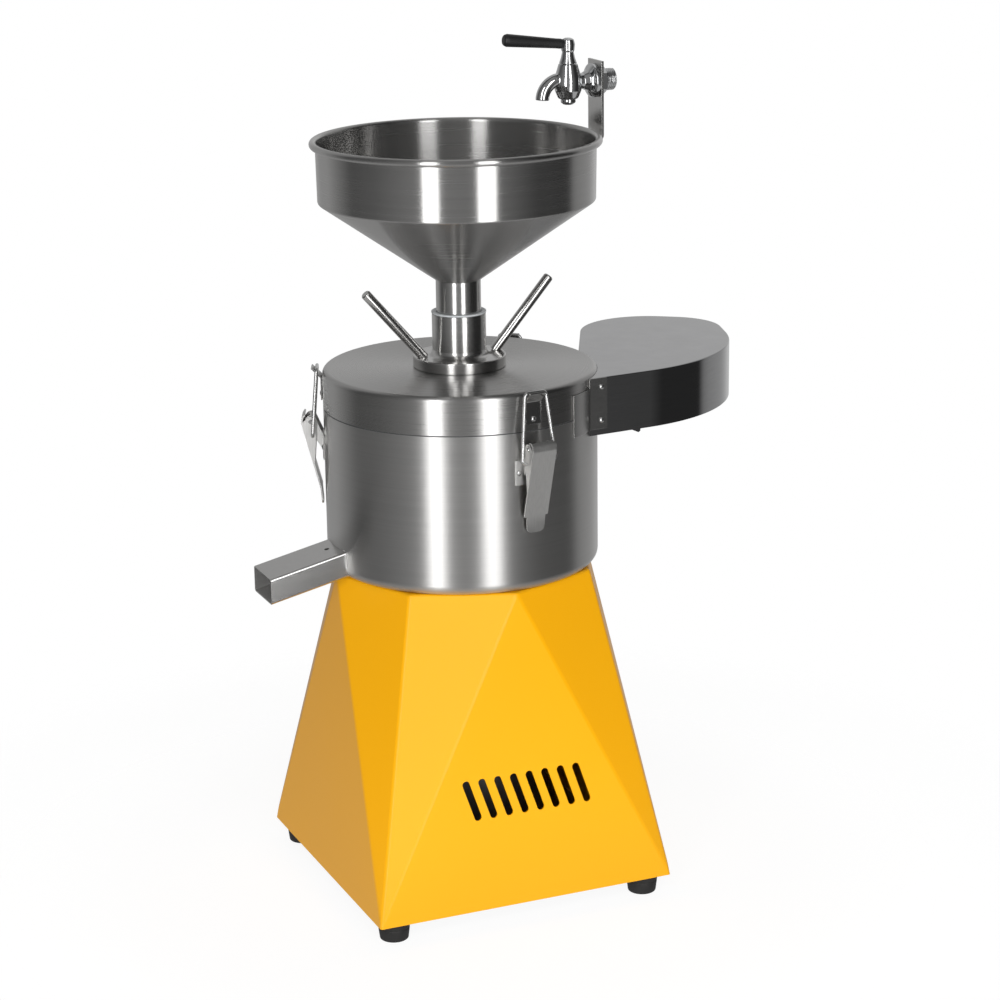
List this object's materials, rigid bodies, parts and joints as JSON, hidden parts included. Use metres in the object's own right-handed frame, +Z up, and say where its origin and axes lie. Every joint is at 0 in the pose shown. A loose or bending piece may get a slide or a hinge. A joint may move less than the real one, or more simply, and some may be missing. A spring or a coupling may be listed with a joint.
{
  "type": "soy milk maker",
  "caption": "Upright soy milk maker: yellow base with motor, stainless grinding drum with latched lid, milk spout, pulp hood, stone adjuster and hopper with a water tap.",
  "frame": {"origin": "on the floor under the drum's axis, midway between the feet", "axes": "+Z up along the drum's axis, the vented front face looks along -Y, the pulp hood points along +X"},
  "size_m": [0.5135, 0.3178, 0.8174],
  "materials": {
    "yellow_paint": "gloss powder coat",
    "brushed_drum": "brushed round",
    "brushed_lid": "brushed round",
    "brushed_hopper": "polished, spun",
    "brushed_sheet": "satin sheet",
    "turned_steel": "turned",
    "latch_steel": "pressed, bright",
    "latch_wire": "bright wire",
    "chrome_tap": "polished chrome",
    "fastener": "bright zinc",
    "plain_steel": "mill finish",
    "cast_alloy": "cast",
    "winding": "enamelled wire",
    "grinding_stone": "coarse grit",
    "rubber_foot": "moulded",
    "rubber_seal": "moulded",
    "black_plastic": "moulded",
    "white_plastic": "moulded"
  },
  "bodies": {
    "frame": {"base_housing": "yellow_paint", "base_top": "yellow_paint", "floor_plate": "plain_steel", "feet": "rubber_foot", "foot_screws": "fastener", "motor_plate": "plain_steel", "drum_bolts": "fastener", "upper_end_bell": "cast_alloy", "motor_shell": "cast_alloy", "stator_core": "plain_steel", "stator_windings": "winding", "lower_end_bell": "cast_alloy", "bearings": "fastener", "fan_cowl": "plain_steel", "capacitor": "white_plastic", "terminal_block": "white_plastic", "switch_body": "black_plastic", "cable_gland": "black_plastic", "drum_bowl": "brushed_drum", "shaft_seal": "rubber_seal", "splash_ring": "brushed_sheet", "milk_outlet": "brushed_sheet", "latch_plates": "latch_steel", "latch_pins": "fastener", "rivets": "fastener", "lid_gasket": "rubber_seal", "lid": "brushed_lid", "keepers": "latch_steel", "pulp_hood": "brushed_sheet", "hood_flange": "brushed_sheet", "guide_pins": "fastener"},
    "rotor": {"motor_shaft": "plain_steel", "rotor_core": "plain_steel", "cooling_fan": "black_plastic", "drive_hub": "plain_steel", "filter_basket": "brushed_sheet", "stone_seat": "plain_steel", "lower_stone": "grinding_stone", "stone_nut": "fastener"},
    "adjuster": {"adjusting_nut": "turned_steel", "rod_left": "turned_steel", "rod_right": "turned_steel", "retaining_ring": "fastener", "neck_seal": "white_plastic"},
    "upper_stone_set": {"stone_carrier": "turned_steel", "upper_stone": "grinding_stone"},
    "hopper": {"hopper_bowl": "brushed_hopper", "hopper_spigot": "brushed_hopper", "tap_bracket": "brushed_sheet", "tap_body": "chrome_tap", "tap_locknut": "chrome_tap"},
    "tap_lever": {"tap_plug": "chrome_tap", "tap_grip": "black_plastic"},
    "rocker": {"switch_rocker": "black_plastic"},
    "lever_front_body": {"lever_front": "latch_steel"},
    "bail_front_body": {"bail_front": "latch_wire"},
    "lever_back_body": {"lever_back": "latch_steel"},
    "bail_back_body": {"bail_back": "latch_wire"},
    "lever_left_body": {"lever_left": "latch_steel"},
    "bail_left_body": {"bail_left": "latch_wire"}
  },
  "joints": [
    {"name": "rotor_spin", "type": "hinge", "parent": "frame", "child": "rotor", "pos_m": [0, 0, 0.2], "axis": [0, 0, 1], "continuous": true},
    {"name": "stone_adjuster", "type": "hinge", "parent": "frame", "child": "adjuster", "pos_m": [0, 0, 0.515], "axis": [0, 0, 1], "range_deg": [-270, 90]},
    {"name": "stone_lift", "type": "slide", "parent": "frame", "child": "upper_stone_set", "axis": [0, 0, 1], "range_m": [-0.0006, 0.0016]},
    {"name": "hopper_lift", "type": "slide", "parent": "frame", "child": "hopper", "axis": [0, 0, 1], "range_m": [0, 0.1]},
    {"name": "tap_turn", "type": "hinge", "parent": "hopper", "child": "tap_lever", "pos_m": [0.1145, 0, 0.7694], "axis": [0, 0, 1], "range_deg": [0, 90]},
    {"name": "switch_rock", "type": "hinge", "parent": "frame", "child": "rocker", "pos_m": [0.14254, 0, 0.13977], "axis": [0, 1, 0], "range_deg": [0, 20]},
    {"name": "latch_front", "type": "hinge", "parent": "frame", "child": "lever_front_body", "pos_m": [0.01976, -0.14062, 0.46], "axis": [-0.9903, -0.1392, 0], "range_deg": [0, 120]},
    {"name": "bail_front_swing", "type": "hinge", "parent": "lever_front_body", "child": "bail_front_body", "pos_m": [0.01955, -0.13913, 0.446], "axis": [-0.9903, -0.1392, 0], "range_deg": [-97, 1]},
    {"name": "latch_back", "type": "hinge", "parent": "frame", "child": "lever_back_body", "pos_m": [0.09864, 0.10215, 0.46], "axis": [0.7193, -0.6947, 0], "range_deg": [0, 120]},
    {"name": "bail_back_swing", "type": "hinge", "parent": "lever_back_body", "child": "bail_back_body", "pos_m": [0.0976, 0.10107, 0.446], "axis": [0.7193, -0.6947, 0], "range_deg": [-97, 1]},
    {"name": "latch_left", "type": "hinge", "parent": "frame", "child": "lever_left_body", "pos_m": [-0.13166, 0.05319, 0.46], "axis": [0.3746, 0.9272, 0], "range_deg": [0, 120]},
    {"name": "bail_left_swing", "type": "hinge", "parent": "lever_left_body", "child": "bail_left_body", "pos_m": [-0.13027, 0.05263, 0.446], "axis": [0.3746, 0.9272, 0], "range_deg": [-97, 1]}
  ],
  "couplings": [
    {"joint": "stone_lift", "follows": "stone_adjuster", "m_per_rad": -0.00031831},
    {"joint": "bail_front_swing", "follows": "latch_front", "ratio": -0.8},
    {"joint": "bail_back_swing", "follows": "latch_back", "ratio": -0.8},
    {"joint": "bail_left_swing", "follows": "latch_left", "ratio": -0.8}
  ]
}
